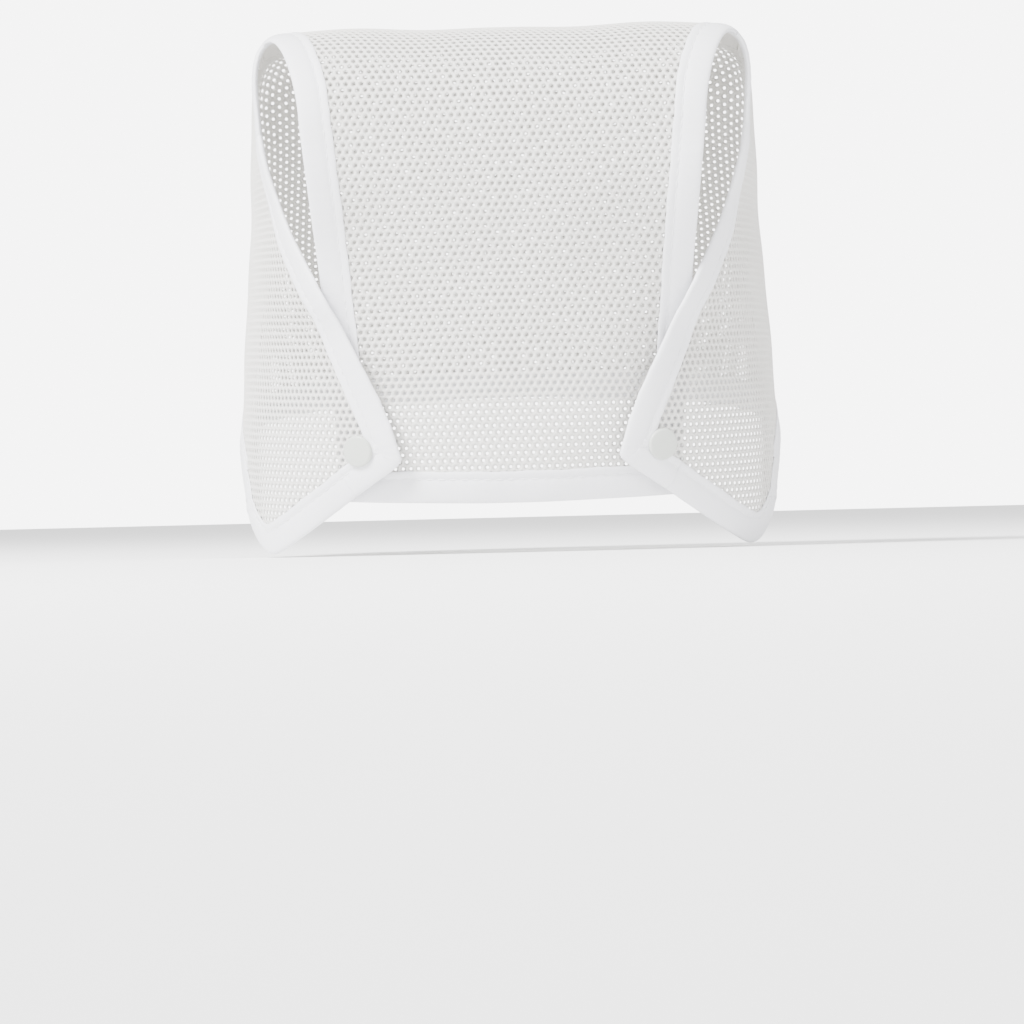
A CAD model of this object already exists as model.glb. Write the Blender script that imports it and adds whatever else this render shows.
"""Visual model of a white mesh cap with a back flap and two snap-closed side wings.

Everything is laid out in the CAD part's own frame. Lengths inside this script are millimetres until a mesh is made,
when they become metres. The cloth is one wall surface and one crown surface, both given by formulas. Each net is a
lattice of round holes laid out flat, as the cloth was cut, and carried on to its surface.
"""
import logging
import math
from dataclasses import dataclass, field
from enum import Enum
from typing import Callable, Dict, List, Optional, Sequence, Tuple

import bpy
import numpy as np
from mathutils import Matrix, Vector
from mathutils.bvhtree import BVHTree


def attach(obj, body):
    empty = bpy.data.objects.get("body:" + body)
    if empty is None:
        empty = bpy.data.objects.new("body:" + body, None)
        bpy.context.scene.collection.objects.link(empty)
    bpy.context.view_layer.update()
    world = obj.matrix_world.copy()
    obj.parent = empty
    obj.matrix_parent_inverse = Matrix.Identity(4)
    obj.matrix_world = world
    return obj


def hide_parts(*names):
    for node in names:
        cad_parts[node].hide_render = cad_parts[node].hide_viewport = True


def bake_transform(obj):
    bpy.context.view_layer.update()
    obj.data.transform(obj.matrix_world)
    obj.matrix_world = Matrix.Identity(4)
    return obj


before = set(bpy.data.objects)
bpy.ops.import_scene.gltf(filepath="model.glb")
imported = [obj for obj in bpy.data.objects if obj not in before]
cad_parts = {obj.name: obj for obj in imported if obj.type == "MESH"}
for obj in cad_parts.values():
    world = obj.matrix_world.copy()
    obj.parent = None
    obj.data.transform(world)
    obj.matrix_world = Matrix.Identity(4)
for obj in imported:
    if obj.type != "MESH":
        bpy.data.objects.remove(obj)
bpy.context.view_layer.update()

log = logging.getLogger("cap")
Array = np.ndarray

# ---- sizes of the CAD part, in millimetres -------------------------------------------------
CROWN_Z, FOLD_RADIUS, FLAP_Y = 165.5, 31.5, -96.0
FOLD_Z = CROWN_Z - FOLD_RADIUS
CROWN_REAR_Y = FLAP_Y + FOLD_RADIUS
FOLD_TOP_S = FOLD_Z + FOLD_RADIUS * math.pi / 2.0
HINGE_LOW = (-28.0, 14.0)
BROW_END, BROW_MID = (42.0, 42.0), (95.0, 52.0)
CROWN_FRONT_Y, FRONT_FOLD, FRONT_HEIGHT = 8.0, 20.0, 124.0
FRONT_LEAN, BROW_LEAN = 20.0, 14.0
PROFILE_LENGTH = CROWN_FRONT_Y - CROWN_REAR_Y + FRONT_FOLD * math.radians(90.0 - FRONT_LEAN) + FRONT_HEIGHT
HINGE_TOP_Z = 134.0
CLOTH_HALF = 0.4
SNAP_X, SNAP_Z = 47.5, 32.0

# ---- the cloth and its tape ----------------------------------------------------------------
HOLE_PITCH, ROW_PITCH, HOLE_RADIUS = 2.43, 2.16, 0.52
STITCH_IN, STITCH_PITCH = 6.7, 3.7
UNDER_TAPE, UNDER_SEAM = 1.9, 0.9        # how near a hole may come to a taped edge or a seam
LINING_GAP = 0.26                        # from a tape's outer face to its inner one


def ease(t: Array) -> Array:
    """Smooth step from 0 to 1."""
    t = np.clip(t, 0.0, 1.0)
    return t * t * (3.0 - 2.0 * t)


def run_along(path: Array) -> Array:
    """Length along a path up to each of its points."""
    return np.concatenate([[0.0], np.cumsum(np.linalg.norm(np.diff(path, axis=0), axis=1))])


def hermite(values: Array, slopes: Array, i: Array, h: Array, s: Array) -> Array:
    """Points of a smooth cubic curve.

    Args:
        values: the curve's points.
        slopes: its slopes at those points.
        i: the point before each wanted place.
        h: how far apart that point and the next one are.
        s: the share of that way, from 0 to 1.
    Returns:
        One point per wanted place.
    """
    return ((1 + 2 * s) * (1 - s) ** 2 * values[i] + s * (1 - s) ** 2 * h * slopes[i]
            + s * s * (3 - 2 * s) * values[i + 1] + s * s * (s - 1) * h * slopes[i + 1])


# ---- surfaces ------------------------------------------------------------------------------
def half_width(z: Array) -> Array:
    """Half the cap's width at height z."""
    below = 88.6 - 0.0023 * (33.0 - z) ** 2
    above = 88.6 - 7.0 * (1.0 - np.exp(-(np.maximum(z, 33.0) - 33.0) / 70.0))
    return np.where(z < 33.0, below, above)


def rear_reach(z: Array) -> Array:
    """Depth of the plan curve behind its widest point."""
    return 96.0 + 0.0175 * np.maximum(0.0, z - 45.0) ** 2


def widest_y(z: Array) -> Array:
    """Where the plan curve is widest."""
    return 24.0 * ease((z - 75.0) / 40.0)


def roundness(z: Array) -> Array:
    """Exponent of the plan curve."""
    return 2.3 - 0.3 * ease((z - 45.0) / 30.0)


def lean(z: Array) -> Array:
    """How far the lower rear is drawn forward."""
    return 8.0 * (np.maximum(0.0, 70.0 - z) / 55.0) ** 2


def wing_point(psi: Array, z: Array) -> Array:
    """Rear quarter of the wall; psi is 0 on the centre line and a right angle at the side."""
    psi, z = np.broadcast_arrays(np.asarray(psi, float), np.asarray(z, float))
    n = roundness(z)
    x = half_width(z) * np.sin(psi) ** (2.0 / n)
    rear = np.cos(psi) ** (2.0 / n)
    return np.stack([x, widest_y(z) - rear_reach(z) * rear + lean(z) * rear * rear, z], -1)


def psi_at(x: Array, z: Array) -> Array:
    """Plan angle of the rear wall at a given half width."""
    return np.arcsin(np.minimum(1.0, x / half_width(np.asarray(z, float))) ** (roundness(z) / 2.0))


def hinge_y(z: Array) -> Array:
    """The wing's fold line, straight in side view."""
    return HINGE_LOW[0] + (CROWN_REAR_Y - HINGE_LOW[0]) * (z - HINGE_LOW[1]) / (CROWN_Z - HINGE_LOW[1])


def hinge_psi(z: Array) -> Array:
    """Plan angle of the fold line."""
    ratio = (widest_y(z) - hinge_y(z)) / rear_reach(z)
    return np.arccos(np.clip(ratio, 0.0, 1.0) ** (roundness(z) / 2.0))


def side_x(y: Array, z: Array) -> Array:
    """Half width of the side wall at a given y and z."""
    off = y - widest_y(z)
    reach = rear_reach(z) + np.where(off > 0, 54.0, 0.0)
    n = roundness(z)
    return half_width(z) * (1.0 - np.minimum(0.999, np.abs(off) / reach) ** n) ** (1.0 / n)


def flap_half_width(s: Array) -> Array:
    """Half width of the flat part of the back flap."""
    low = s - 15.0
    return 52.6 + 0.065 * low + 0.00018 * low * low


def strip_half_width(s: Array) -> Array:
    """Half width of the flap; it flares over the fold to the crown's corners."""
    t = np.clip((s - FOLD_Z) / (FOLD_TOP_S - FOLD_Z), 0.0, 1.0)
    at_fold = flap_half_width(np.asarray(FOLD_Z))
    return np.where(s <= FOLD_Z, flap_half_width(s), at_fold + (76.0 - at_fold) * t ** 1.6)


def hem_s(x: Array) -> Array:
    """Height of the flap's hem."""
    return 15.4 + 0.0005 * x * x


def back_point(x: Array, s: Array) -> Array:
    """Back flap and fold: s is the height, and past FOLD_Z the way over the fold."""
    x, s = np.broadcast_arrays(np.asarray(x, float), np.asarray(s, float))
    curve = 19.5 * ease((125.0 - s) / 75.0) * (np.abs(x) / 58.0) ** 2.3
    low_y = FLAP_Y + 4.2 * ease((125.0 - s) / 40.0) + curve + lean(s)
    turn = np.clip((s - FOLD_Z) / FOLD_RADIUS, 0.0, math.pi / 2.0)
    ahead = np.maximum(0.0, s - FOLD_TOP_S)
    length = math.hypot(HINGE_LOW[0] - CROWN_REAR_Y, HINGE_LOW[1] - CROWN_Z)
    edge = float(side_x(np.asarray(CROWN_REAR_Y), np.asarray(CROWN_Z)))
    ratio = np.minimum(0.9999, np.abs(x) / edge)
    drop = length * (1.0 - (1.0 - ratio ** 18.0) ** (1.0 / 18.0)) * ease(turn / (math.pi / 2.0))
    line = np.array([HINGE_LOW[0] - CROWN_REAR_Y, HINGE_LOW[1] - CROWN_Z]) / length
    y = np.where(s <= FOLD_Z, low_y, CROWN_REAR_Y - FOLD_RADIUS * np.cos(turn) + ahead + line[0] * drop)
    z = np.where(s <= FOLD_Z, s, FOLD_Z + FOLD_RADIUS * np.sin(turn) + line[1] * drop)
    return np.stack([x, y, z], -1)


def profile(v: Array) -> Tuple[Array, Array]:
    """Centre line of crown and front, for v from 0 at the rear to 1 at the brow."""
    turn = math.radians(90.0 - FRONT_LEAN)
    crown, arc = CROWN_FRONT_Y - CROWN_REAR_Y, FRONT_FOLD * turn
    s = np.asarray(v, float) * PROFILE_LENGTH
    a = np.clip((s - crown) / FRONT_FOLD, 0.0, turn)
    y = np.where(s < crown, CROWN_REAR_Y + s, CROWN_FRONT_Y + FRONT_FOLD * np.sin(a))
    z = np.where(s < crown, CROWN_Z, CROWN_Z - FRONT_FOLD + FRONT_FOLD * np.cos(a))
    start = np.array([CROWN_FRONT_Y + FRONT_FOLD * math.sin(turn),
                      CROWN_Z - FRONT_FOLD + FRONT_FOLD * math.cos(turn)])
    upper, lower, reach = math.radians(FRONT_LEAN), math.radians(BROW_LEAN), FRONT_HEIGHT / 3.0
    bend = start + reach * np.array([math.sin(upper), -math.cos(upper)])
    brow = np.array(BROW_MID) + reach * np.array([-math.sin(lower), math.cos(lower)])
    t = np.clip((s - crown - arc) / FRONT_HEIGHT, 0.0, 1.0)[..., None]
    low = ((1 - t) ** 3 * start + 3 * t * (1 - t) ** 2 * bend
           + 3 * t * t * (1 - t) * brow + t ** 3 * np.array(BROW_MID))
    front = s > crown + arc
    return np.where(front, low[..., 0], y), np.where(front, low[..., 1], z)


class BodySurface:
    """Crown, sides and front of the cap as a table of points, read by smooth interpolation.

    Attributes:
        table: points by v, from the rear edge to the brow, and by u, from the centre line to the ear edge.
        lengths: length of each half section, from the centre line to the ear edge.
    """

    V_STEPS, U_STEPS, DENSE = 440, 480, 900

    def __init__(self) -> None:
        v = np.linspace(0.0, 1.0, self.V_STEPS + 1)[:, None]
        top_y, top_z = profile(v)
        low_y = HINGE_LOW[0] + (BROW_END[0] - HINGE_LOW[0]) * v
        low_z = HINGE_LOW[1] + (BROW_END[1] - HINGE_LOW[1]) * (1.0 - (1.0 - v) ** 3)
        power = 2.4 + (18.0 - 2.4) * (1.0 - ease((v - 0.3) / 0.7))
        phi = np.linspace(0.0, 0.5 * math.pi, self.DENSE + 1)[None, :]
        across = np.sin(phi) ** (2.0 / power)
        down = 1.0 - np.clip(np.cos(phi), 0.0, 1.0) ** (2.0 / power)
        y = top_y + (low_y - top_y) * down
        z = top_z + (low_z - top_z) * down
        dense = np.stack([side_x(y, z) * across, y, z], -1)
        run = np.concatenate([np.zeros((len(v), 1)), np.cumsum(np.linalg.norm(np.diff(dense, axis=1), axis=2), 1)], 1)
        self.lengths = run[:, -1]
        self.corner_u = run[:, self.DENSE // 2] / self.lengths
        u = np.linspace(0.0, 1.0, self.U_STEPS + 1)
        self.table = np.empty((len(v), len(u), 3))
        for i in range(len(v)):
            for axis in range(3):
                self.table[i, :, axis] = np.interp(u * run[i, -1], run[i], dense[i, :, axis])

    def length_at(self, v: Array) -> Array:
        """Length of the half section at v."""
        return np.interp(v, np.linspace(0.0, 1.0, self.V_STEPS + 1), self.lengths)

    def corner_at(self, v: Array) -> Array:
        """The u at which the section turns from crown or front to side."""
        return np.interp(v, np.linspace(0.0, 1.0, self.V_STEPS + 1), self.corner_u)

    def point(self, u: Array, v: Array) -> Array:
        """Points at u, signed for left and right, and v."""
        u, v = np.broadcast_arrays(np.asarray(u, float), np.asarray(v, float))
        a = np.clip(v, 0.0, 1.0) * self.V_STEPS
        b = np.clip(np.abs(u), 0.0, 1.0) * self.U_STEPS
        i, j = np.minimum(a.astype(int), self.V_STEPS - 1), np.minimum(b.astype(int), self.U_STEPS - 1)
        fa, fb = (a - i)[..., None], (b - j)[..., None]
        t = self.table
        p = (t[i, j] * (1 - fa) + t[i + 1, j] * fa) * (1 - fb) + (t[i, j + 1] * (1 - fa) + t[i + 1, j + 1] * fa) * fb
        p = p.copy()
        p[..., 0] *= np.sign(u) + (u == 0)
        return p


BODY = BodySurface()


def softness(p: Array) -> Array:
    """Depth of the cloth's slight waves at points p, in millimetres."""
    x, y, z = np.abs(p[..., 0]), p[..., 1], p[..., 2]
    wave = 0.34 * np.sin(x * 0.071 + 1.3) * np.sin(z * 0.058 + 0.6 + 0.02 * x)
    wave += 0.20 * np.sin(x * 0.16 - z * 0.09 + y * 0.05) + 0.12 * np.sin(z * 0.23 + x * 0.11 + 2.0)
    from_snap = (x - SNAP_X) ** 2 + (z - SNAP_Z) ** 2 + np.where(y > -60.0, 1e4, 0.0)
    return (wave - 0.1) * (1.0 - np.exp(-from_snap / 14.0 ** 2))


# ---- charts: flat cloth carried on to its surface ------------------------------------------
class Chart:
    """A flat piece of cloth; at() carries flat points on to the surface."""

    def place(self, flat: Array) -> Array:
        """Points of the smooth surface, before the cloth's slight waves."""
        raise NotImplementedError

    def at(self, flat: Array) -> Tuple[Array, Array]:
        """Points and outward unit normals for flat points.

        Args:
            flat: array of (across, along) places in millimetres; the last axis has length two.
        Returns:
            Two arrays of the same shape with three numbers at the end.
        """
        step = 0.4
        here = self.place(flat)
        du = self.place(flat + [step, 0.0]) - self.place(flat - [step, 0.0])
        dv = self.place(flat + [0.0, step]) - self.place(flat - [0.0, step])
        normal = np.cross(du, dv)
        normal /= np.maximum(np.linalg.norm(normal, axis=-1, keepdims=True), 1e-9)
        centre = np.array([0.0, 0.0, 85.0])
        outward = np.sign(np.sum(normal * (here - centre), -1, keepdims=True))
        normal = normal * np.where(outward == 0, 1.0, outward)
        return here + normal * softness(here)[..., None], normal


class CentreChart(Chart):
    """Back flap, fold and crown, cut in one length: (across, way up from the hem)."""

    def place(self, flat: Array) -> Array:
        x, s = flat[..., 0], flat[..., 1]
        back = back_point(x, np.minimum(s, FOLD_TOP_S))
        v = np.maximum(0.0, s - FOLD_TOP_S) / PROFILE_LENGTH
        crown = BODY.point(x / BODY.length_at(v), v)
        return np.where((s > FOLD_TOP_S)[..., None], crown, back)


def seam_u(v: Array) -> Array:
    """Where the crown meets the side panels, as u of the body surface."""
    corner = BODY.corner_at(v)
    start = 76.3 / BODY.length_at(np.zeros(1))[0]
    shift = (BODY.corner_at(0.0) - start) * (1.0 - ease(v / 0.08))
    return np.maximum(0.0, (corner - shift) * (1.0 - ease((v - 0.26) / 0.13)))


CROWN_END_V = 0.39


class SideChart(Chart):
    """One side panel, wing and wall in one, unrolled to the flat shape it would be cut to.

    Attributes:
        grid_flat: flat places of the panel's grid points.
        grid_points: their places on the surface.
    """

    WING_COLUMNS, BODY_COLUMNS, ROWS, UPPER_ROWS = 14, 46, 24, 6

    def __init__(self) -> None:
        points, faces = self._grid()
        flat = self._unroll(points, faces)
        self.grid_flat, self.grid_points = flat, points
        fine_flat, fine_faces, self._params = self._refine(flat, faces)
        self._tree = BVHTree.FromPolygons([(p[0], p[1], 0.0) for p in fine_flat.tolist()], fine_faces.tolist())
        self._flat, self._faces = fine_flat, fine_faces

    def _grid(self) -> Tuple[Array, Array]:
        """Grid points of the panel by (column, row), wing first, with shared points on the fold line."""
        self.kinds: List[Tuple[float, float, bool]] = []
        index: Dict[Tuple[int, int], int] = {}
        for i in range(self.WING_COLUMNS + 1):
            for k in range(self.ROWS + 1):
                psi, z = wing_corner(i / self.WING_COLUMNS, k / self.ROWS)
                index[(i, k)] = len(self.kinds)
                self.kinds.append((psi, z, True))
        u_scan = np.linspace(1.0, 0.2, 1200)
        z_scan = BODY.point(u_scan, 0.0)[:, 2]
        heights = np.linspace(HINGE_LOW[1], HINGE_TOP_Z, self.ROWS + 1)
        u_low = np.interp(heights, z_scan, u_scan)
        u_seam = float(seam_u(np.asarray(0.0)))
        u_high = np.linspace(u_low[-1], u_seam, self.UPPER_ROWS + 1)[1:]
        share = (1.0 - np.concatenate([u_low, u_high])) / (1.0 - u_seam)
        offset = self.WING_COLUMNS
        for i in range(self.BODY_COLUMNS + 1):
            v = i / self.BODY_COLUMNS
            for k in range(self.ROWS + self.UPPER_ROWS + 1):
                if i == 0 and k <= self.ROWS:
                    continue
                u = 1.0 - share[k] * (1.0 - float(seam_u(np.asarray(v))))
                index[(offset + i, k)] = len(self.kinds)
                self.kinds.append((u, v, False))
        faces = []
        for (i, k) in index:
            corners = [index.get((i + a, k + b)) for a, b in ((0, 0), (1, 0), (1, 1), (0, 1))]
            if None not in corners:
                faces.append(corners)
        self.index = index
        a = np.array([p[0] for p in self.kinds])
        b = np.array([p[1] for p in self.kinds])
        is_wing = np.array([p[2] for p in self.kinds])
        return self._surface(a, b, is_wing), np.array(faces)

    @staticmethod
    def _surface(a: Array, b: Array, is_wing: Array) -> Array:
        wing = wing_point(np.clip(a, 0.0, math.pi / 2.0), b)
        body = BODY.point(a, b)
        return np.where(is_wing[..., None], wing, body)

    def _unroll(self, points: Array, faces: Array) -> Array:
        """Flat shape of the panel, by Blender's least-stretch unwrap, turned so that the wing's rows lie level."""
        bpy.ops.object.select_all(action="DESELECT")
        mesh = bpy.data.meshes.new("unroll")
        mesh.from_pydata(points.tolist(), [], faces.tolist())
        obj = bpy.data.objects.new("unroll", mesh)
        bpy.context.collection.objects.link(obj)
        bpy.context.view_layer.objects.active = obj
        obj.select_set(True)
        mesh.uv_layers.new(name="UVMap")
        bpy.ops.object.mode_set(mode="EDIT")
        bpy.ops.mesh.select_all(action="SELECT")
        bpy.ops.uv.unwrap(method="MINIMUM_STRETCH", margin=0.0, iterations=40)
        bpy.ops.object.mode_set(mode="OBJECT")
        uv = np.zeros((len(mesh.loops), 2))
        mesh.uv_layers[0].data.foreach_get("uv", uv.ravel())
        corner = np.zeros(len(mesh.loops), int)
        mesh.loops.foreach_get("vertex_index", corner)
        flat = np.zeros((len(points), 2))
        flat[corner] = uv
        bpy.data.objects.remove(obj)
        # scale by edge length, then turn on to (along the wall, height) near the fold line
        pairs = faces[:, :2]
        true = np.linalg.norm(points[pairs[:, 0]] - points[pairs[:, 1]], axis=1)
        drawn = np.linalg.norm(flat[pairs[:, 0]] - flat[pairs[:, 1]], axis=1)
        flat *= np.sum(true) / np.sum(drawn)
        near = (np.abs(points[:, 1] + 50.0) < 38.0) & (points[:, 2] > 20.0) & (points[:, 2] < 120.0)
        along = points[near, 1] - 0.75 * (88.0 - points[near, 0])
        target = np.stack([along, points[near, 2]], 1)
        source_mid, target_mid = flat[near].mean(0), target.mean(0)
        u, _, vt = np.linalg.svd((flat[near] - source_mid).T @ (target - target_mid))
        return (flat - source_mid) @ (u @ vt) + target_mid

    def _refine(self, flat: Array, faces: Array) -> Tuple[Array, Array, Array]:
        """Finer triangles, each point with its surface parameters, so that the surface stays smooth."""
        flats, params, tris = [], [], []
        values = np.array([[p[0], p[1], float(p[2])] for p in self.kinds])
        cuts = 4
        for quad in faces:
            q = flat[quad]
            wing = values[quad, 2].max() > 0.5 and values[quad, 2].min() > 0.5
            p = values[quad, :2].copy()
            if not wing:
                for n, corner in enumerate(quad):
                    if values[corner, 2] > 0.5:
                        z = values[corner, 1]
                        u_scan = np.linspace(1.0, 0.2, 600)
                        p[n] = (np.interp(z, BODY.point(u_scan, 0.0)[:, 2], u_scan), 0.0)
            base = len(flats)
            for a in range(cuts + 1):
                for b in range(cuts + 1):
                    fa, fb = a / cuts, b / cuts
                    w = np.array([(1 - fa) * (1 - fb), fa * (1 - fb), fa * fb, (1 - fa) * fb])
                    flats.append(w @ q)
                    params.append((*(w @ p), 1.0 if wing else 0.0))
            for a in range(cuts):
                for b in range(cuts):
                    c = base + a * (cuts + 1) + b
                    tris.append((c, c + cuts + 1, c + cuts + 2))
                    tris.append((c, c + cuts + 2, c + 1))
        return np.array(flats), np.array(tris), np.array(params)

    def place(self, flat: Array) -> Array:
        shape = flat.shape[:-1]
        query = flat.reshape(-1, 2)
        owner = np.array([self._tree.find_nearest((x, y, 0.0))[2] for x, y in query.tolist()])
        return self._inside(query, owner).reshape(*shape, 3)

    def at(self, flat: Array) -> Tuple[Array, Array]:
        """Same as Chart.at, with the flat triangles looked up once."""
        shape = flat.shape[:-1]
        query = flat.reshape(-1, 2)
        owner = np.array([self._tree.find_nearest((x, y, 0.0))[2] for x, y in query.tolist()])
        here = self._inside(query, owner)
        du = self._inside(query + [0.3, 0.0], owner) - self._inside(query - [0.3, 0.0], owner)
        dv = self._inside(query + [0.0, 0.3], owner) - self._inside(query - [0.0, 0.3], owner)
        normal = np.cross(du, dv)
        normal /= np.maximum(np.linalg.norm(normal, axis=-1, keepdims=True), 1e-9)
        outward = np.sign(np.sum(normal * (here - [0.0, 0.0, 70.0]), -1, keepdims=True))
        normal = normal * np.where(outward == 0, 1.0, outward)
        here = here + normal * softness(here)[:, None]
        return here.reshape(*shape, 3), normal.reshape(*shape, 3)

    def _inside(self, query: Array, owner: Array) -> Array:
        tri = self._faces[owner]
        a, b, c = (self._flat[tri[:, k]] for k in range(3))
        m, n, q = b - a, c - a, query - a
        det = m[:, 0] * n[:, 1] - m[:, 1] * n[:, 0]
        det = np.where(np.abs(det) < 1e-9, 1e-9, det)
        wb = (q[:, 0] * n[:, 1] - q[:, 1] * n[:, 0]) / det
        wc = (m[:, 0] * q[:, 1] - m[:, 1] * q[:, 0]) / det
        w = np.stack([1.0 - wb - wc, wb, wc], 1)
        p = np.einsum("nk,nkd->nd", w, self._params[tri])
        wing = self._params[tri[:, 0], 2] > 0.5
        inner = self._surface(np.where(wing, p[:, 0], np.clip(p[:, 0], 0.0, 1.0)),
                              np.where(wing, p[:, 1], np.clip(p[:, 1], 0.0, 1.0)), wing)
        # past the ends of a wall's own parameters the surface goes straight on
        return inner + self._beyond(p, wing)

    @staticmethod
    def _beyond(p: Array, wing: Array) -> Array:
        extra = np.zeros((len(p), 3))
        for column, value, base in ((0, 1.0, None), (1, 0.0, None), (1, 1.0, None)):
            over = p[:, column] - value
            past = (~wing) & ((over > 0) if value == 1.0 else (over < 0))
            if not past.any():
                continue
            u, v = np.clip(p[past, 0], 0.0, 1.0), np.clip(p[past, 1], 0.0, 1.0)
            step = 0.01 if value == 1.0 else -0.01
            if column == 0:
                slope = (BODY.point(u, v) - BODY.point(u - step, v)) / step
            else:
                slope = (BODY.point(u, v) - BODY.point(u, v - step)) / step
            extra[past] += slope * over[past, None]
        return extra


def smooth_curve(points: Sequence[Tuple[float, float]], t: Array) -> Tuple[Array, Array]:
    """Plan angle and height on a smooth curve through points of half width and height.

    Args:
        points: (half width, height) pairs; the last is on the fold line.
        t: places from 0 to 1, spaced by length.
    Returns:
        The plan angle and the height.
    """
    knots = np.array([(float(psi_at(x, z)), z / 100.0) for x, z in points], float)
    chords = run_along(knots)
    chords /= chords[-1]
    t = np.clip(np.asarray(t, float), 0.0, 1.0)
    n = len(knots)
    tangents = np.zeros_like(knots)
    for i in range(n):
        a, b = max(0, i - 1), min(n - 1, i + 1)
        tangents[i] = (knots[b] - knots[a]) / (chords[b] - chords[a])
    i = np.clip(np.searchsorted(chords, t, side="right") - 1, 0, n - 2)
    h = chords[i + 1] - chords[i]
    s = ((t - chords[i]) / h)[..., None]
    h = h[..., None]
    p = hermite(knots, tangents, i, h, s)
    return p[..., 0], p[..., 1] * 100.0


def _on_hinge(z: float) -> Tuple[float, float]:
    return float(wing_point(hinge_psi(np.asarray(z)), np.asarray(z))[0]), z


WING_TOP = [(34.5, 30.0), (42.0, 49.0), (53.4, 71.6), (65.7, 95.0), (74.5, 118.0), _on_hinge(HINGE_TOP_Z)]
WING_END = [(34.5, 28.0), (46.0, 20.5), (58.0, 12.2), (69.0, 4.6), (77.0, 0.6), (81.6, 4.2), _on_hinge(14.0)]


def wing_corner(i: float, j: float) -> Tuple[float, float]:
    """Plan angle and height of the wing's grid: i from the tip to the fold line, j from end edge to top."""
    low, top = smooth_curve(WING_END, i), smooth_curve(WING_TOP, i)
    psi, z = low[0] + (top[0] - low[0]) * j, low[1] + (top[1] - low[1]) * j
    low_end, top_end = smooth_curve(WING_END, 1.0), smooth_curve(WING_TOP, 1.0)
    straight_psi = low_end[0] + (top_end[0] - low_end[0]) * j
    straight_z = low_end[1] + (top_end[1] - low_end[1]) * j
    return float(psi + (hinge_psi(straight_z) - straight_psi) * i ** 3), float(z)


# ---- finishes ------------------------------------------------------------------------------
class Finish(Enum):
    """The surfaces that the cap is made of."""

    NET = "net"
    TAPE = "tape"
    THREAD = "thread"
    PLASTIC = "plastic"
    FLOOR = "floor"


@dataclass(frozen=True)
class Look:
    """How one surface takes the light.

    Attributes:
        colour: linear base colour.
        second: linear colour that the base drifts to.
        roughness: surface roughness.
        sheen: weight of the soft fibre sheen.
        through: share of light passed through thin cloth.
        bump: depth of the fine relief.
    """

    colour: Tuple[float, float, float]
    second: Tuple[float, float, float]
    roughness: float
    sheen: float = 0.0
    through: float = 0.0
    bump: float = 0.0


LOOKS: Dict[Finish, Look] = {
    Finish.NET: Look((0.80, 0.79, 0.765), (0.75, 0.735, 0.70), 0.78, 0.25, 0.22, 0.5),
    Finish.TAPE: Look((0.87, 0.87, 0.90), (0.82, 0.82, 0.85), 0.40, 0.20, 0.06, 0.4),
    Finish.THREAD: Look((0.90, 0.90, 0.92), (0.84, 0.84, 0.86), 0.42, 0.2, 0.0, 0.5),
    Finish.PLASTIC: Look((0.52, 0.54, 0.50), (0.48, 0.50, 0.46), 0.30, 0.0, 0.0, 0.08),
    Finish.FLOOR: Look((0.90, 0.90, 0.90), (0.89, 0.89, 0.89), 0.8, 0.0, 0.0, 0.02),
}


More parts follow.
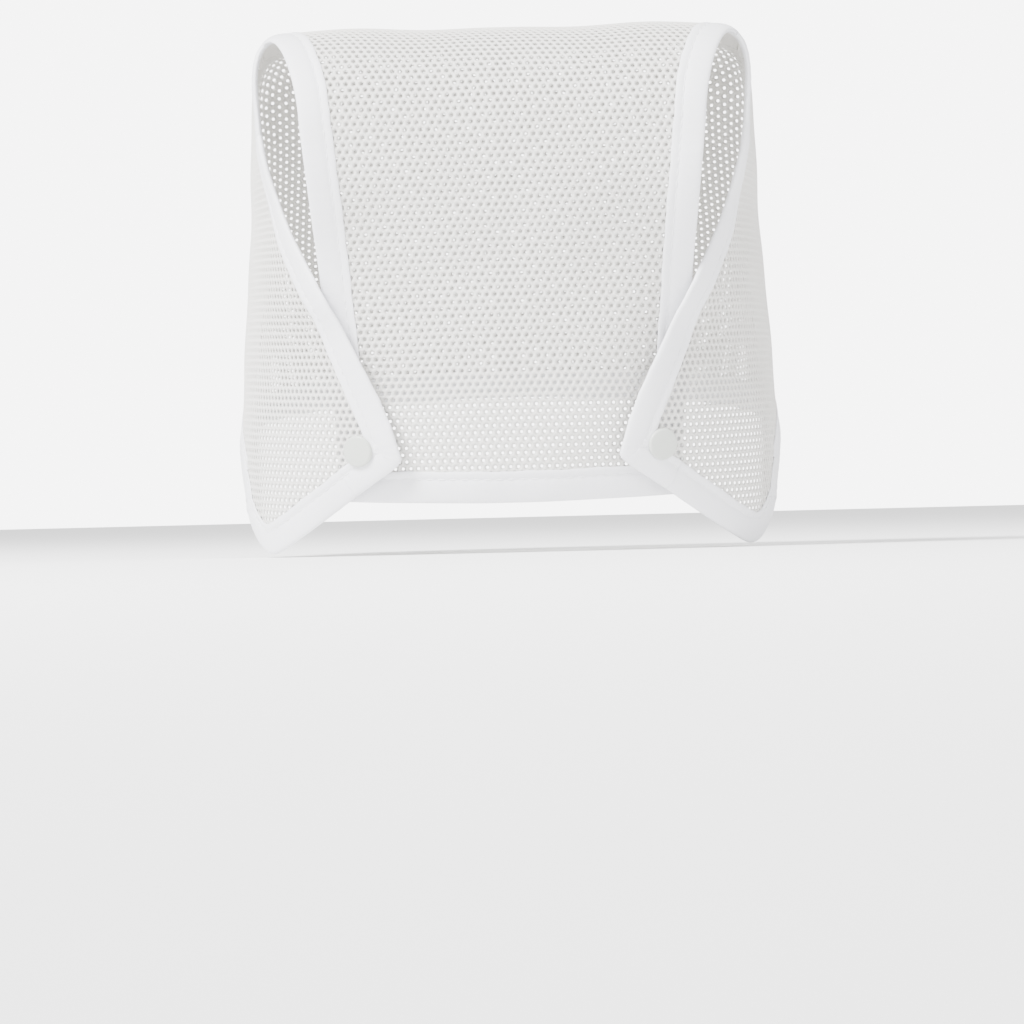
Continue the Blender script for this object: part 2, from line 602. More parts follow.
class Wardrobe:
    """Makes each finish's material once and hands it out."""

    def __init__(self) -> None:
        self._made: Dict[Finish, bpy.types.Material] = {}

    def get(self, finish: Finish) -> bpy.types.Material:
        """The material of a finish."""
        if finish not in self._made:
            self._made[finish] = self._make(finish, LOOKS[finish])
        return self._made[finish]

    def _make(self, finish: Finish, look: Look) -> bpy.types.Material:
        material = bpy.data.materials.new(f"{finish.value}_finish")
        material.use_nodes = True
        nodes, links = material.node_tree.nodes, material.node_tree.links
        nodes.clear()
        out = nodes.new("ShaderNodeOutputMaterial")
        shade = nodes.new("ShaderNodeBsdfPrincipled")
        shade.inputs["Roughness"].default_value = look.roughness
        shade.inputs["Sheen Weight"].default_value = look.sheen
        shade.inputs["Sheen Roughness"].default_value = 0.5
        shade.inputs["Specular IOR Level"].default_value = 0.5 if finish is Finish.PLASTIC else 0.3
        place = nodes.new("ShaderNodeTexCoord")
        drift = nodes.new("ShaderNodeTexNoise")
        drift.inputs["Scale"].default_value = 38.0
        drift.inputs["Detail"].default_value = 3.0
        links.new(place.outputs["Object"], drift.inputs["Vector"])
        mix = nodes.new("ShaderNodeMix")
        mix.data_type = "RGBA"
        mix.inputs[6].default_value = (*look.colour, 1.0)
        mix.inputs[7].default_value = (*look.second, 1.0)
        links.new(drift.outputs["Fac"], mix.inputs[0])
        links.new(mix.outputs[2], shade.inputs["Base Color"])
        height = self._relief(nodes, links, place, finish)
        bump = nodes.new("ShaderNodeBump")
        bump.inputs["Strength"].default_value = look.bump
        bump.inputs["Distance"].default_value = 0.00012
        links.new(height, bump.inputs["Height"])
        links.new(bump.outputs["Normal"], shade.inputs["Normal"])
        if look.through > 0.0:
            glow = nodes.new("ShaderNodeBsdfTranslucent")
            links.new(mix.outputs[2], glow.inputs["Color"])
            blend = nodes.new("ShaderNodeMixShader")
            blend.inputs[0].default_value = look.through
            links.new(shade.outputs[0], blend.inputs[1])
            links.new(glow.outputs[0], blend.inputs[2])
            links.new(blend.outputs[0], out.inputs["Surface"])
        else:
            links.new(shade.outputs[0], out.inputs["Surface"])
        return material

    @staticmethod
    def _relief(nodes, links, place, finish: Finish):
        """Height of the fine relief: woven ribs on tape, fibres on net and thread, a faint grain elsewhere."""
        if finish is Finish.TAPE:
            uv = nodes.new("ShaderNodeUVMap")
            uv.uv_map = "UVMap"
            across = nodes.new("ShaderNodeTexWave")
            across.bands_direction = "X"
            across.inputs["Scale"].default_value = 0.62
            across.inputs["Distortion"].default_value = 0.6
            along = nodes.new("ShaderNodeTexWave")
            along.bands_direction = "Y"
            along.inputs["Scale"].default_value = 0.9
            along.inputs["Distortion"].default_value = 0.4
            both = nodes.new("ShaderNodeMath")
            both.operation = "MULTIPLY"
            for wave in (across, along):
                links.new(uv.outputs["UV"], wave.inputs["Vector"])
            links.new(across.outputs["Fac"], both.inputs[0])
            links.new(along.outputs["Fac"], both.inputs[1])
            return both.outputs[0]
        grain = nodes.new("ShaderNodeTexNoise")
        grain.inputs["Scale"].default_value = {Finish.NET: 3600.0, Finish.THREAD: 5200.0}.get(finish, 900.0)
        grain.inputs["Detail"].default_value = 4.0
        links.new(place.outputs["Object"], grain.inputs["Vector"])
        return grain.outputs["Fac"]


# ---- meshes --------------------------------------------------------------------------------
def make_object(name: str, points: Array, faces: Sequence[Sequence[int]], material: bpy.types.Material,
                uv: Optional[Array] = None, smooth: bool = True) -> bpy.types.Object:
    """A mesh object at the origin, from points in millimetres.

    Args:
        name: name of the object.
        points: vertices in millimetres.
        faces: vertex numbers of each face, anticlockwise from outside.
        material: its material.
        uv: one flat place per vertex, for the material.
        smooth: shade it smooth.
    Returns:
        The linked object.
    """
    mesh = bpy.data.meshes.new(name)
    mesh.from_pydata((np.asarray(points) * 0.001).tolist(), [], [list(f) for f in faces])
    mesh.materials.append(material)
    if uv is not None:
        layer = mesh.uv_layers.new(name="UVMap")
        corner = np.zeros(len(mesh.loops), int)
        mesh.loops.foreach_get("vertex_index", corner)
        layer.data.foreach_set("uv", np.asarray(uv, np.float32)[corner].ravel())
    mesh.polygons.foreach_set("use_smooth", [smooth] * len(mesh.polygons))
    mesh.update()
    obj = bpy.data.objects.new(name, mesh)
    bpy.context.collection.objects.link(obj)
    return obj


def mirrored(points: Array) -> Array:
    """The same points on the other side of the cap."""
    return points * np.array([-1.0, 1.0, 1.0])


@dataclass
class NetPanel:
    """A panel of net cloth: round holes in rows, each yarn with a lens-shaped section.

    Attributes:
        name: name of the piece.
        chart: flat shape and surface of the cloth.
        keep: tells which flat places belong to the panel.
        span: flat box that the rows are laid over, as (low, high) corners.
        flip: build the mirrored panel.
    """

    name: str
    chart: Chart
    keep: Callable[[Array], Array]
    span: Tuple[Tuple[float, float], Tuple[float, float]]
    flip: bool = False

    def _centres(self) -> Array:
        (x0, y0), (x1, y1) = self.span
        rows = np.arange(math.floor(y0 / ROW_PITCH), math.ceil(y1 / ROW_PITCH) + 1)
        columns = np.arange(math.floor(x0 / HOLE_PITCH) - 1, math.ceil(x1 / HOLE_PITCH) + 2)
        y, x = np.meshgrid(rows, columns, indexing="ij")
        flat = np.stack([(x + 0.5 * (y % 2)) * HOLE_PITCH, y * ROW_PITCH], -1).reshape(-1, 2)
        return flat[self.keep(flat)]

    def build(self, material: bpy.types.Material) -> bpy.types.Object:
        """Makes the net.

        Args:
            material: the net's material.
        Returns:
            The panel, closed along its outer edge.
        """
        centres = self._centres()
        low = ROW_PITCH / 2.0 - HOLE_PITCH ** 2 / (8.0 * ROW_PITCH)
        high = ROW_PITCH - low
        half = HOLE_PITCH / 2.0
        corners = np.array([(0, high), (-half, low), (-half, -low), (0, -high), (half, -low), (half, low)])
        angles = np.arctan2(corners[:, 1], corners[:, 0])
        rim = np.stack([np.cos(angles), np.sin(angles)], 1) * HOLE_RADIUS
        count = len(centres)
        all_corners = (centres[:, None, :] + corners).reshape(-1, 2)
        keys = np.round(all_corners * 1000.0 + 0.2).astype(np.int64)
        _, first, which, uses = np.unique(keys, axis=0, return_index=True, return_inverse=True, return_counts=True)
        which = which.reshape(count, 6)
        corner_flat = all_corners[first]
        rim_flat = (centres[:, None, :] + rim).reshape(-1, 2)
        places, normals = self.chart.at(np.concatenate([corner_flat, rim_flat]))
        n_corner = len(corner_flat)
        edge = uses < 3
        thick = CLOTH_HALF * 0.98
        front = places[:n_corner] + normals[:n_corner] * np.where(edge, 0.0, thick)[:, None]
        back = places[:n_corner] - normals[:n_corner] * thick
        inner = np.nonzero(~edge)[0]
        back_index = np.arange(n_corner)
        back_index[inner] = n_corner + 6 * count + np.arange(len(inner))
        points = np.concatenate([front, places[n_corner:], back[inner]])
        rims = n_corner + np.arange(6 * count).reshape(count, 6)
        fronts, backs = [], []
        for k in range(6):
            m = (k + 1) % 6
            # a yarn with both its ends on the panel's edge has no thickness, and is left out
            real = ~(edge[which[:, k]] & edge[which[:, m]])
            quads = np.stack([rims[:, k], which[:, k], which[:, m], rims[:, m]], 1)[real]
            fronts.append(quads)
            quads = np.stack([rims[:, m], back_index[which[:, m]], back_index[which[:, k]], rims[:, k]], 1)[real]
            backs.append(quads)
        fronts = np.concatenate(fronts)
        faces = np.concatenate([fronts, *backs])
        used, places_used = np.unique(faces, return_inverse=True)
        points, faces = points[used], places_used.reshape(faces.shape)
        if self.flip:
            points = mirrored(points)
        # turn the faces outward
        f = faces[: len(fronts)]
        middle = points[f].mean(1) - np.array([0.0, 0.0, 85.0])
        normal = np.cross(points[f[:, 1]] - points[f[:, 0]], points[f[:, 2]] - points[f[:, 0]])
        if np.sum(normal * middle) < 0:
            faces = faces[:, ::-1]
        obj = make_object(self.name, points, faces.tolist(), material)
        log.info("%s: %d holes, %d triangles", self.name, count, 2 * len(faces))
        return obj


# (distance in from the cloth's edge, height above its middle) over a folded tape's outer face
TAPE_SECTION = [(9.2, 0.52), (9.05, 0.66), (8.3, 0.74), (7.4, 0.69), (7.0, 0.56), (6.7, 0.42), (6.4, 0.56),
                (5.8, 0.76), (4.6, 0.91), (3.1, 0.97), (1.6, 0.94), (0.5, 0.82), (-0.2, 0.62),
                (-0.6, 0.34), (-0.8, 0.0)]
# half of a seam's section: (distance from the seam line, height)
SEAM_SECTION = [(1.75, 0.30), (1.5, 0.52), (1.0, 0.66), (0.45, 0.60), (0.0, 0.40)]


@dataclass
class EdgeTape:
    """Tape folded round an edge of the cloth and stitched down through both faces.

    Attributes:
        name: name of the piece.
        chart: the cloth that it goes round.
        path: flat places along the cloth's edge.
        side: 1 if the cloth lies to the left of the path, -1 if to the right.
        both_sides: the tape runs on over the mirrored path, meeting at the path's end.
        flip: build the mirrored tape.
        lift: how much prouder it stands where it laps over another tape.
    """

    name: str
    chart: Chart
    path: Array
    side: float = 1.0
    both_sides: bool = False
    flip: bool = False
    lift: float = 0.0
    length: float = 0.0

    def stations(self) -> Tuple[Array, Array, Array]:
        """Flat stations 1 mm apart, their inward directions and the room inward before the edge closes on itself."""
        run = run_along(self.path)
        count = max(8, int(round(run[-1])))
        want = np.linspace(0.0, run[-1], count + 1)
        line = np.stack([np.interp(want, run, self.path[:, k]) for k in range(2)], 1)
        for _ in range(2):
            line[1:-1] = 0.25 * line[:-2] + 0.5 * line[1:-1] + 0.25 * line[2:]
        tangent = np.gradient(line, axis=0)
        tangent /= np.linalg.norm(tangent, axis=1, keepdims=True)
        inward = np.stack([-tangent[:, 1], tangent[:, 0]], 1) * self.side
        turn = np.gradient(np.unwrap(np.arctan2(tangent[:, 1], tangent[:, 0]))) / (run[-1] / count) * self.side
        room = np.where(turn > 1e-3, 0.93 / np.maximum(turn, 1e-3), 1e3)
        self.length = float(run[-1])
        return line, inward, room

    def build(self, material: bpy.types.Material, thread: bpy.types.Material) -> List[bpy.types.Object]:
        """Makes the tape and its stitching.

        Args:
            material: the tape's material.
            thread: the stitching's material.
        Returns:
            The tape and its stitching, as two objects.
        """
        line, inward, room = self.stations()
        outer = [(d, h) for d, h in TAPE_SECTION] + [(d, -h) for d, h in TAPE_SECTION[-2::-1]]
        lining = [(max(d, -0.45), h - math.copysign(LINING_GAP, h - 1e-9)) for d, h in outer]
        lining = [(d, math.copysign(max(abs(h), 0.22), h)) for d, h in lining if d > -0.4]
        loop = np.array(outer + lining[::-1])
        seed = sum(ord(c) for c in self.name.split("_", 1)[-1])
        along = np.arange(len(line)) * 1.0
        wobble = 0.10 * np.sin(along * 0.31 + seed) + 0.07 * np.sin(along * 0.83 + 2.0 * seed)
        puff = 1.0 + 0.035 * np.sin(along * 0.47 + seed) + 0.05 * np.sin(2.0 * math.pi * along / STITCH_PITCH)
        depth = loop[None, :, 0] + wobble[:, None] * np.clip(loop[None, :, 0] / 9.0, 0.0, 1.0)
        depth = np.minimum(depth, room[:, None])
        flat = line[:, None, :] + inward[:, None, :] * depth[:, :, None]
        places, normals = self.chart.at(flat)
        groove = np.exp(-((loop[:, 0] - STITCH_IN) / 0.9) ** 2)
        height = loop[None, :, 1] * (1.0 + (puff[:, None] - 1.0) * (1.0 - groove[None, :]))
        height = height + np.sign(height) * self.lift
        rows = places + normals * height[..., None]
        stitch_rows = self._stitch_rows(line, inward, room)
        if self.both_sides:
            rows = np.concatenate([rows, mirrored(rows[-2::-1])])
            stitch_rows = stitch_rows + [tuple(mirrored(a) for a in s) for s in stitch_rows]
            self.length *= 2.0
        if self.flip:
            rows = mirrored(rows)
            stitch_rows = [tuple(mirrored(a) for a in s) for s in stitch_rows]
        tape = self.sweep(rows, loop, material)
        sewing = stitch_mesh(self.name.replace("binding", "stitching"), stitch_rows, thread)
        log.info("%s: %.0f mm long, %d stitches", self.name, self.length, len(stitch_rows))
        return [tape, sewing]

    def _stitch_rows(self, line: Array, inward: Array, room: Array) -> List[Tuple[Array, Array, Array]]:
        """Middle, half length vector and outward normal of each stitch, on both faces."""
        where = np.arange(1.8, len(line) - 2.0, STITCH_PITCH)
        index = np.arange(len(line))
        base = np.stack([np.interp(where, index, line[:, k]) for k in range(2)], 1)
        heading = np.stack([np.interp(where, index, inward[:, k]) for k in range(2)], 1)
        free = np.interp(where, index, room) > STITCH_IN + 0.4
        base, heading = base[free], heading[free]
        tangent = np.stack([heading[:, 1], -heading[:, 0]], 1)
        at = base + heading * STITCH_IN
        ends, normals = self.chart.at(np.stack([at - tangent * 1.3, at + tangent * 1.3], 1))
        rows = []
        for (a, b), (na, nb) in zip(ends, normals):
            n = (na + nb) / np.linalg.norm(na + nb)
            for face in (1.0, -1.0):
                rows.append(((a + b) / 2.0 + n * face * (0.55 + self.lift), (b - a) / 2.0, n * face))
        return rows

    def sweep(self, rows: Array, loop: Array, material: bpy.types.Material) -> bpy.types.Object:
        """Closed mesh through the rows of one loop, with both ends closed by strips."""
        stations, around = rows.shape[:2]
        points = rows.reshape(-1, 3)
        i, j = np.meshgrid(np.arange(stations - 1), np.arange(around), indexing="ij")
        k = (j + 1) % around
        faces = np.stack([i * around + j, (i + 1) * around + j, (i + 1) * around + k, i * around + k], -1)
        faces = faces.reshape(-1, 4)
        across = run_along(loop)
        uv = np.stack([np.repeat(np.arange(stations) * 1.0, around), np.tile(across, stations)], 1)
        quads = faces.tolist()
        caps = [list(range(around))[::-1], [(stations - 1) * around + n for n in range(around)]]
        volume = np.sum(np.cross(points[faces[:, 0]], points[faces[:, 1]]) * points[faces[:, 2]]
                        + np.cross(points[faces[:, 0]], points[faces[:, 2]]) * points[faces[:, 3]])
        half = around // 2
        for cap in caps:
            # the end of the folded tape, as a strip between its outer face and its lining
            strip = []
            for n in range(half):
                quad = [cap[n], cap[n + 1], cap[-n - 2], cap[-n - 1]]
                if len(set(quad)) == 4:
                    strip.append(quad)
            quads += strip
        if volume < 0:
            quads = [q[::-1] for q in quads]
        return make_object(self.name.replace("binding", "tape"), points, quads, material, uv)


@dataclass
class FlatSeam:
    """A narrow felled seam where two nets are joined, proud of both faces, with a groove down its middle.

    Attributes:
        name: name of the piece.
        chart: the surface that it lies on.
        path: flat places along the seam.
        flip: build the mirrored seam.
    """

    name: str
    chart: Chart
    path: Array
    flip: bool = False
    length: float = 0.0

    def build(self, material: bpy.types.Material) -> bpy.types.Object:
        """Makes the seam.

        Args:
            material: the seam's material.
        Returns:
            The seam as one closed strip.
        """
        tape = EdgeTape(self.name, self.chart, self.path)
        line, inward, _ = tape.stations()
        half = SEAM_SECTION + [(-d, h) for d, h in SEAM_SECTION[-2::-1]]
        loop = np.array(half + [(d, -h) for d, h in half[::-1]])
        flat = line[:, None, :] + inward[:, None, :] * loop[None, :, :1]
        places, normals = self.chart.at(flat)
        along = np.arange(len(line)) * 1.0
        puff = 1.0 + 0.09 * np.sin(2.0 * math.pi * along / STITCH_PITCH)
        rows = places + normals * (loop[None, :, 1] * puff[:, None])[..., None]
        if self.flip:
            rows = mirrored(rows)
        self.length = tape.length
        return tape.sweep(rows, loop, material)


def stitch_mesh(name: str, rows: List[Tuple[Array, Array, Array]], material: bpy.types.Material) -> bpy.types.Object:
    """All stitches of one seam in one mesh: short plump threads that dive at both ends.

    Args:
        name: name of the piece.
        rows: middle, half length vector and outward normal of each stitch.
        material: the thread's material.
    Returns:
        The stitching.
    """
    rings = [(-1.0, 0.02, -0.20), (-0.72, 0.15, -0.03), (0.0, 0.19, 0.03), (0.72, 0.15, -0.03), (1.0, 0.02, -0.20)]
    sides = 6
    points, faces = [], []
    for middle, reach, normal in rows:
        base = len(points)
        ahead = reach / np.linalg.norm(reach)
        across = np.cross(ahead, normal)
        for along, radius, rise in rings:
            for k in range(sides):
                a = 2.0 * math.pi * k / sides
                points.append(middle + reach * along + normal * (rise + radius * math.sin(a))
                              + across * radius * math.cos(a))
        for r in range(len(rings) - 1):
            for k in range(sides):
                m = (k + 1) % sides
                faces.append((base + r * sides + k, base + r * sides + m,
                              base + (r + 1) * sides + m, base + (r + 1) * sides + k))
        faces.append([base + k for k in range(sides)][::-1])
        faces.append([base + (len(rings) - 1) * sides + k for k in range(sides)])
    points = np.array(points)
    first = np.array(faces[0])
    out = points[first].mean(0) - points[: sides * 2].mean(0)
    turn = np.cross(points[first[1]] - points[first[0]], points[first[2]] - points[first[0]])
    if np.dot(out, turn) < 0:
        faces = [list(f)[::-1] for f in faces]
    return make_object(name, points, faces, material)


def rounded(path: Array, corner: int, cut: float, steps: int = 8) -> Array:
    """The path with one corner rounded off, starting a given distance either side of it."""
    run = run_along(path)
    before, after = run[corner] - cut, run[corner] + cut
    start = np.array([np.interp(before, run, path[:, k]) for k in range(2)])
    end = np.array([np.interp(after, run, path[:, k]) for k in range(2)])
    t = np.linspace(0.0, 1.0, steps + 1)[:, None]
    arc = (1 - t) ** 2 * start + 2 * t * (1 - t) * path[corner] + t * t * end
    return np.concatenate([path[run < before], arc, path[run > after]])


def smoothed(path: Array, step: float = 1.0) -> Array:
    """A smooth curve through a few points, as points a given distance apart."""
    run = run_along(path)
    slopes = np.gradient(path, run, axis=0)
    want = np.linspace(0.0, run[-1], max(4, int(run[-1] / step)))
    i = np.clip(np.searchsorted(run, want, side="right") - 1, 0, len(run) - 2)
    h = (run[i + 1] - run[i])[:, None]
    s = (want - run[i])[:, None] / h
    return hermite(path, slopes, i, h, s)


def distance_to(path: Array, flat: Array) -> Array:
    """Distance of each flat place to a path."""
    best = np.full(len(flat), 1e9)
    for a, b in zip(path[:-1], path[1:]):
        d = b - a
        t = np.clip(((flat - a) @ d) / max(1e-12, float(d @ d)), 0.0, 1.0)
        best = np.minimum(best, np.linalg.norm(flat - a - t[:, None] * d, axis=1))
    return best


def inside_of(outline: Array, flat: Array) -> Array:
    """Which flat places lie inside a closed outline."""
    inside = np.zeros(len(flat), bool)
    x, y = flat[:, 0], flat[:, 1]
    for (x0, y0), (x1, y1) in zip(outline, np.roll(outline, -1, axis=0)):
        crosses = (y0 > y) != (y1 > y)
        with np.errstate(divide="ignore", invalid="ignore"):
            at = (x1 - x0) * (y - y0) / (y1 - y0 if y1 != y0 else 1e-12) + x0
        inside ^= crosses & (x < at)
    return inside


# ---- press studs ---------------------------------------------------------------------------
def snap_place(right: bool) -> Tuple[Vector, Vector]:
    """Where a press stud goes through the wing's surface, in metres, and its outward axis."""
    psi = float(psi_at(SNAP_X, SNAP_Z))
    here = wing_point(psi, SNAP_Z)
    du = wing_point(psi + 1e-3, SNAP_Z) - wing_point(psi - 1e-3, SNAP_Z)
    dv = wing_point(psi, SNAP_Z + 0.1) - wing_point(psi, SNAP_Z - 0.1)
    axis = np.cross(du, dv)
    axis /= np.linalg.norm(axis)
    if axis[1] > 0:
        axis = -axis
    if not right:
        here, axis = mirrored(here), mirrored(axis)
    return Vector(here * 0.001), Vector(axis)


@dataclass
class PressStudDisc:
    """A low moulded disc of a press stud: the cap outside the wing or the back inside the flap.

    Attributes:
        name: name of the piece.
        radius: its radius.
        foot: height of its foot above the wing's surface, along the axis.
        height: how far it stands above its foot; negative if it faces inward.
        crown: how much the middle of its face rises.
    """

    name: str
    radius: float
    foot: float
    height: float
    crown: float

    def build(self, right: bool, material: bpy.types.Material) -> bpy.types.Object:
        """Makes the disc on one side of the cap.

        Args:
            right: on the wearer's right.
            material: its material.
        Returns:
            The disc.
        """
        bpy.ops.object.select_all(action="DESELECT")
        depth = abs(self.height)
        bpy.ops.mesh.primitive_cylinder_add(vertices=72, radius=self.radius * 0.001, depth=depth * 0.001,
                                            location=(0.0, 0.0, depth * 0.0005))
        disc = bpy.context.active_object
        disc.name = self.name
        bpy.ops.object.transform_apply(location=True, rotation=True, scale=True)
        bpy.ops.object.mode_set(mode="EDIT")
        bpy.ops.mesh.select_all(action="DESELECT")
        bpy.ops.object.mode_set(mode="OBJECT")
        top = max(disc.data.polygons, key=lambda p: p.center.z)
        top.select = True
        bpy.ops.object.mode_set(mode="EDIT")
        bpy.ops.mesh.select_mode(type="FACE")
        for share, rise in ((0.16, 0.25), (0.22, 0.22), (0.26, 0.10)):
            bpy.ops.mesh.inset(thickness=self.radius * 0.001 * share, depth=self.crown * 0.001 * rise)
        bpy.ops.mesh.select_all(action="SELECT")
        bpy.ops.mesh.normals_make_consistent(inside=False)
        bpy.ops.object.mode_set(mode="OBJECT")
        edge = disc.modifiers.new("edge", "BEVEL")
        edge.width = 0.00055
        edge.segments = 4
        edge.angle_limit = math.radians(50.0)
        bpy.ops.object.modifier_apply(modifier="edge")
        disc.data.polygons.foreach_set("use_smooth", [True] * len(disc.data.polygons))
        here, axis = snap_place(right)
        heading = axis if self.height > 0 else -axis
        turn = Vector((0.0, 0.0, 1.0)).rotation_difference(heading).to_matrix().to_4x4()
        disc.data.transform(Matrix.Translation(here + axis * self.foot * 0.001) @ turn)
        disc.data.materials.clear()
        disc.data.materials.append(material)
        disc.data.name = self.name
        return disc


# ---- the cap -------------------------------------------------------------------------------
@dataclass
class CapModel:
    """The whole cap: nets, tapes, seams and press studs, each riding on its CAD body."""

    wardrobe: Wardrobe
    centre: CentreChart = field(default_factory=CentreChart)
    side: SideChart = field(default_factory=SideChart)
    pieces: Dict[str, bpy.types.Object] = field(default_factory=dict)

    HINGE_START = (0.0, -0.0280, 0.0140)
    HINGE_END = (0.0, -0.0455, 0.0098)
    FOLD_START = (0.0, -0.0645, 0.1650)
    FOLD_END = (0.0, -0.0905, 0.1480)

    def _to_wing(self, piece: bpy.types.Object) -> None:
        """The piece bends from the cap's body into a wing, across the wing's fold line."""
        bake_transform(piece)

    def _to_flap(self, piece: bpy.types.Object) -> None:
        """The piece bends from the cap's body into the back flap, over the rounded fold."""
        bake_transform(piece)

    def build_centre(self) -> None:
        """The net of flap, fold and crown."""
        def keep(flat: Array) -> Array:
            x, s = flat[:, 0], flat[:, 1]
            on_flap = (s <= FOLD_TOP_S) & (s > hem_s(x) + UNDER_TAPE) & (np.abs(x) < strip_half_width(s) - UNDER_TAPE)
            v = (s - FOLD_TOP_S) / PROFILE_LENGTH
            half = BODY.length_at(v) * seam_u(v)
            on_crown = (s > FOLD_TOP_S) & (v < CROWN_END_V) & (np.abs(x) < half - UNDER_SEAM)
            return on_flap | on_crown

        panel = NetPanel("centre_net", self.centre, keep, ((-84.0, 12.0), (84.0, 275.0)))
        net = panel.build(self.wardrobe.get(Finish.NET))
        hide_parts("back_flap_panel", "cap_panel")
        self._to_flap(net)
        self.pieces[net.name] = net

    def _outline(self) -> Dict[str, Array]:
        """Edges of the flat side panel, each as a smooth path."""
        chart = self.side
        wing, wall = chart.WING_COLUMNS, chart.WING_COLUMNS + chart.BODY_COLUMNS
        rows, high = chart.ROWS, chart.ROWS + chart.UPPER_ROWS

        def path(cells: Sequence[Tuple[int, int]]) -> Array:
            return smoothed(chart.grid_flat[[chart.index[c] for c in cells]])

        return {
            "wing_end": path([(i, 0) for i in range(wing, -1, -1)]),
            "tip": path([(0, k) for k in range(0, rows + 1, 6)]),
            "wing_top": path([(i, rows) for i in range(0, wing + 1)]),
            "rim": path([(wing, k) for k in range(rows, high + 1)]),
            "seam": path([(i, high) for i in range(wing, wall + 1)]),
            "front": path([(wall, k) for k in range(high, -1, -1)]),
            "brow": path([(wall, k) for k in range(0, high + 1)]),
            "ear": path([(i, 0) for i in range(wing, wall + 1)]),
        }

    def build_sides(self) -> None:
        """The nets of both side panels, wing and wall in one."""
        edges = self._outline()
        ring = np.concatenate([edges["wing_end"], edges["tip"], edges["wing_top"], edges["rim"], edges["seam"],
                               edges["front"], edges["ear"][::-1]])
        taped = [edges[k] for k in ("wing_end", "tip", "wing_top", "rim", "ear", "brow")]

        def keep(flat: Array) -> Array:
            good = inside_of(ring, flat)
            chosen = flat[good]
            near_tape = np.min([distance_to(p, chosen) for p in taped], axis=0)
            near_seam = distance_to(edges["seam"], chosen)
            good[good] = (near_tape > UNDER_TAPE) & (near_seam > UNDER_SEAM)
            return good

        low, high = ring.min(0), ring.max(0)
        for right in (True, False):
            name = ("right" if right else "left") + "_side_net"
            panel = NetPanel(name, self.side, keep, (tuple(low), tuple(high)), flip=not right)
            net = panel.build(self.wardrobe.get(Finish.NET))
            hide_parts(("right" if right else "left") + "_wing_panel", "cap_panel")
            self._to_wing(net)
            self.pieces[name] = net
        self.edges = edges

    def _tape(self, tape: EdgeTape, node: str, place: Callable[[bpy.types.Object], None]) -> None:
        cloth, sewing = tape.build(self.wardrobe.get(Finish.TAPE), self.wardrobe.get(Finish.THREAD))
        for piece in (cloth, sewing):
            place(piece)
            self.pieces[piece.name] = piece
        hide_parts(node)

    def build_tapes(self) -> None:
        """Every folded tape with its stitching."""
        flat_s = np.linspace(25.6, FOLD_TOP_S - 4.0, 170)
        flap_edge = np.stack([strip_half_width(flat_s), flat_s], 1)
        hem_x = np.linspace(-53.4, 53.4, 110)
        hem = np.stack([hem_x, hem_s(hem_x)], 1)
        end, top = self.edges["wing_end"], self.edges["wing_top"]
        whole = rounded(np.concatenate([end[:-1], top]), len(end) - 1, 5.0)
        run = run_along(whole)
        turn = run[np.argmin(np.linalg.norm(whole - end[-1], axis=1))]
        end_path = whole[run < turn - 14.0]
        top_path = whole[run > turn - 19.0]
        arch = self._arch()
        hem_tape = EdgeTape("back_flap_hem_binding", self.centre, hem)
        self._tape(hem_tape, "back_flap_hem_binding", lambda p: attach(p, "back_flap"))
        brow = EdgeTape("brow_binding", self.side, self.edges["brow"], both_sides=True)
        self._tape(brow, "brow_binding", lambda p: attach(p, "cap_body"))
        for right in (True, False):
            tag = "right" if right else "left"
            flip = not right

            def wing(piece: bpy.types.Object, right: bool = right) -> None:
                self._to_wing(piece)

            self._tape(EdgeTape(tag + "_back_flap_side_binding", self.centre, flap_edge, flip=flip),
                       tag + "_back_flap_side_binding", self._to_flap)
            self._tape(EdgeTape(tag + "_rim_binding", ArchChart(), arch, flip=flip),
                       tag + "_rim_binding", lambda p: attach(p, "cap_body"))
            self._tape(EdgeTape(tag + "_wing_end_binding", self.side, end_path, side=-1.0, flip=flip),
                       tag + "_wing_end_binding", wing)
            self._tape(EdgeTape(tag + "_wing_top_binding", self.side, top_path, side=-1.0, flip=flip, lift=0.16),
                       tag + "_wing_top_binding", wing)
            self._tape(EdgeTape(tag + "_ear_binding", self.side, self.edges["ear"], flip=flip),
                       tag + "_ear_binding", lambda p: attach(p, "cap_body"))

    @staticmethod
    def _arch() -> Array:
        """Flat path round the top of a side opening: up the flap's edge, round the corner, down the rim."""
        s = np.linspace(FOLD_TOP_S - 5.0, FOLD_TOP_S, 6)
        up = np.stack([strip_half_width(s), s], 1)
        r = np.linspace(76.0, 160.0, 400)
        z = BODY.point(r / BODY.length_at(0.0), 0.0)[:, 2]
        end = float(np.interp(-HINGE_TOP_Z, -z, r))
        along = np.linspace(76.5, end + 2.0, 40)
        down = np.stack([along, np.full(40, FOLD_TOP_S)], 1)
        return rounded(np.concatenate([up, down]), 5, 3.5)

    def build_seams(self) -> None:
        """Seams between the crown and the side nets, and down the middle of the front."""
        v = np.linspace(0.004, CROWN_END_V, 150)
        crown = np.stack([seam_u(v) * BODY.length_at(v), FOLD_TOP_S + v * PROFILE_LENGTH], 1)
        low = np.linspace(CROWN_END_V - 0.004, 0.985, 60)
        middle = np.stack([np.zeros(60), FOLD_TOP_S + low * PROFILE_LENGTH], 1)
        seams = [FlatSeam("right_crown_seam", self.centre, crown), FlatSeam("front_seam", self.centre, middle),
                 FlatSeam("left_crown_seam", self.centre, crown, flip=True)]
        for seam in seams:
            strip = seam.build(self.wardrobe.get(Finish.NET))
            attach(strip, "cap_body")
            log.info("%s: %.0f mm long", seam.name, seam.length)
            self.pieces[strip.name] = strip

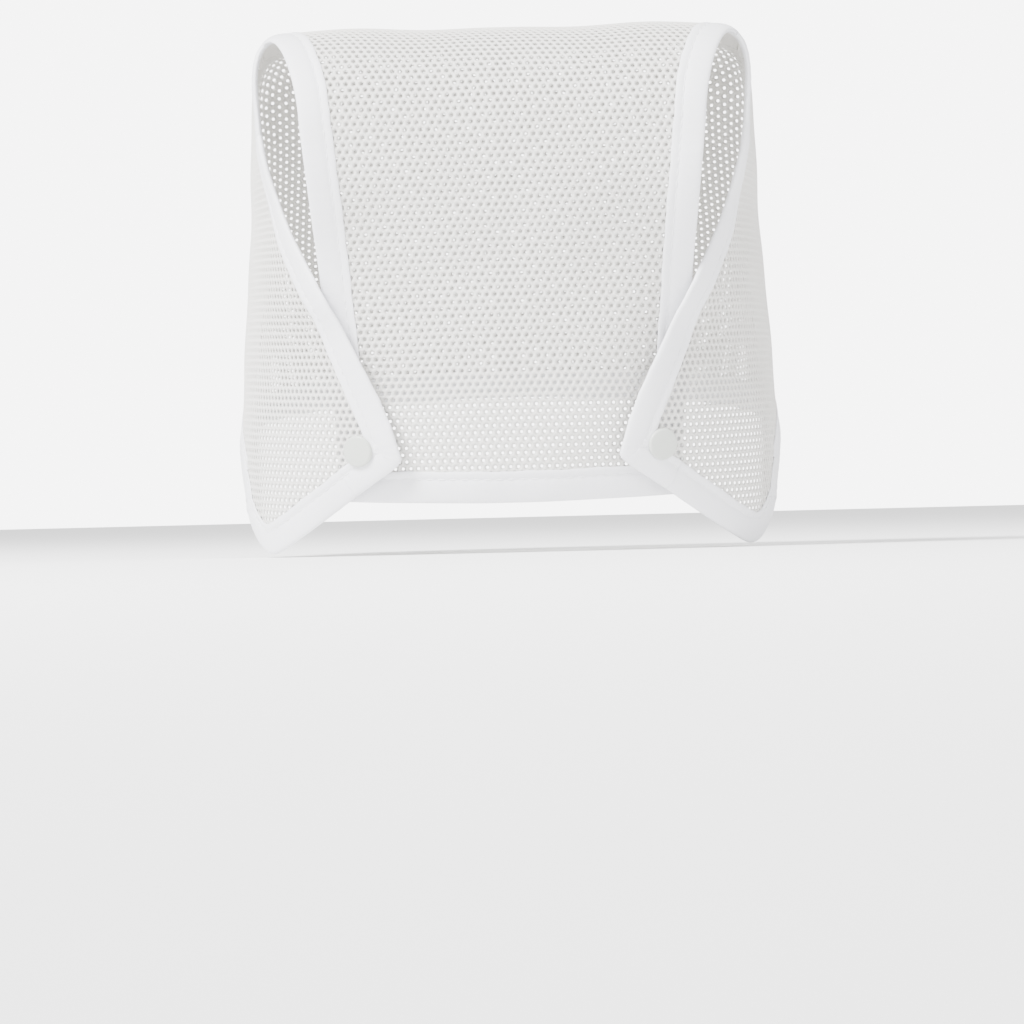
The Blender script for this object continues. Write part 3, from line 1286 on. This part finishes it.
    def build_studs(self) -> None:
        """Caps and backs of the press studs; sockets and studs stay as the CAD nodes."""
        plastic = self.wardrobe.get(Finish.PLASTIC)
        for right in (True, False):
            tag = "right" if right else "left"
            cap = PressStudDisc(tag + "_snap_cap_disc", 5.0, 0.6, 1.3, 0.5).build(right, plastic)
            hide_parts(tag + "_snap_cap")
            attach(cap, tag + "_wing")
            self.pieces[cap.name] = cap
        for name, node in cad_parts.items():
            if name.endswith(("snap_socket", "snap_stud", "snap_back")):
                node.data.materials.clear()
                node.data.materials.append(plastic)


class ArchChart(CentreChart):
    """The crown's rear corner and the rim below it: (way round the section, way forward)."""

    def place(self, flat: Array) -> Array:
        r, s = flat[..., 0], flat[..., 1]
        inner = super().place(flat)
        length = BODY.length_at(0.0)
        base = BODY.point(r / length, 0.0)
        ahead = BODY.point(r / BODY.length_at(1.0 / PROFILE_LENGTH), 1.0 / PROFILE_LENGTH)
        outer = base + (ahead - base) * (s - FOLD_TOP_S)[..., None]
        use = (r > 75.4) & (s < FOLD_TOP_S)
        return np.where(use[..., None], outer, inner)


# ---- stage ---------------------------------------------------------------------------------
@dataclass(frozen=True)
class Softbox:
    """A square area light.

    Attributes:
        name: its name.
        place: where it stands, in metres.
        size: its side.
        power: its power in watts.
    """

    name: str
    place: Tuple[float, float, float]
    size: float
    power: float


SOFTBOXES = (
    Softbox("key", (-1.1, -1.0, 1.6), 0.8, 190.0),
    Softbox("fill", (1.3, -1.2, 0.5), 1.2, 14.0),
)
WORLD_STRENGTH, BACKDROP_STRENGTH = 1.9, 7.0
LENS, CAMERA_Y, CAMERA_Z, CAMERA_ROLL = 196.9, -1.846, 0.0116, -1.4


def build_stage(wardrobe: Wardrobe) -> None:
    """Floor, light and camera."""
    bpy.ops.object.select_all(action="DESELECT")
    bpy.ops.mesh.primitive_plane_add(size=24.0, location=(0.0, 0.0, -0.0012))
    floor = bpy.context.active_object
    floor.name = "floor"
    bpy.ops.object.transform_apply(location=True, rotation=True, scale=True)
    floor.data.materials.append(wardrobe.get(Finish.FLOOR))
    world = bpy.data.worlds.new("studio")
    world.use_nodes = True
    sky = world.node_tree.nodes["Background"]
    sky.inputs["Color"].default_value = (1.0, 1.0, 1.0, 1.0)
    seen = world.node_tree.nodes.new("ShaderNodeLightPath")
    level = world.node_tree.nodes.new("ShaderNodeMapRange")
    level.inputs["To Min"].default_value = WORLD_STRENGTH
    level.inputs["To Max"].default_value = BACKDROP_STRENGTH
    world.node_tree.links.new(seen.outputs["Is Camera Ray"], level.inputs["Value"])
    world.node_tree.links.new(level.outputs["Result"], sky.inputs["Strength"])
    bpy.context.scene.world = world
    aim = Vector((0.0, 0.0, 0.08))
    for box in SOFTBOXES:
        light = bpy.data.lights.new(box.name, "AREA")
        light.size = box.size
        light.energy = box.power
        lamp = bpy.data.objects.new(box.name, light)
        lamp.location = box.place
        lamp.rotation_euler = (aim - Vector(box.place)).to_track_quat("-Z", "Y").to_euler()
        bpy.context.collection.objects.link(lamp)
    lens = bpy.data.cameras.new("camera")
    lens.lens = LENS
    lens.sensor_width = 36.0
    lens.clip_start, lens.clip_end = 0.05, 50.0
    camera = bpy.data.objects.new("camera", lens)
    upright = Matrix.Rotation(math.radians(90.0), 4, "X")
    roll = Matrix.Rotation(math.radians(CAMERA_ROLL), 4, "Z")
    camera.matrix_world = Matrix.Translation((0.0, CAMERA_Y, CAMERA_Z)) @ upright @ roll
    bpy.context.collection.objects.link(camera)
    bpy.context.scene.camera = camera


def main() -> None:
    """Builds the cap and its stage."""
    logging.basicConfig(level=logging.INFO, format="%(message)s")
    wardrobe = Wardrobe()
    cap = CapModel(wardrobe)
    cap.build_centre()
    cap.build_sides()
    cap.build_tapes()
    cap.build_seams()
    cap.build_studs()
    build_stage(wardrobe)


if __name__ == "__main__":
    main()
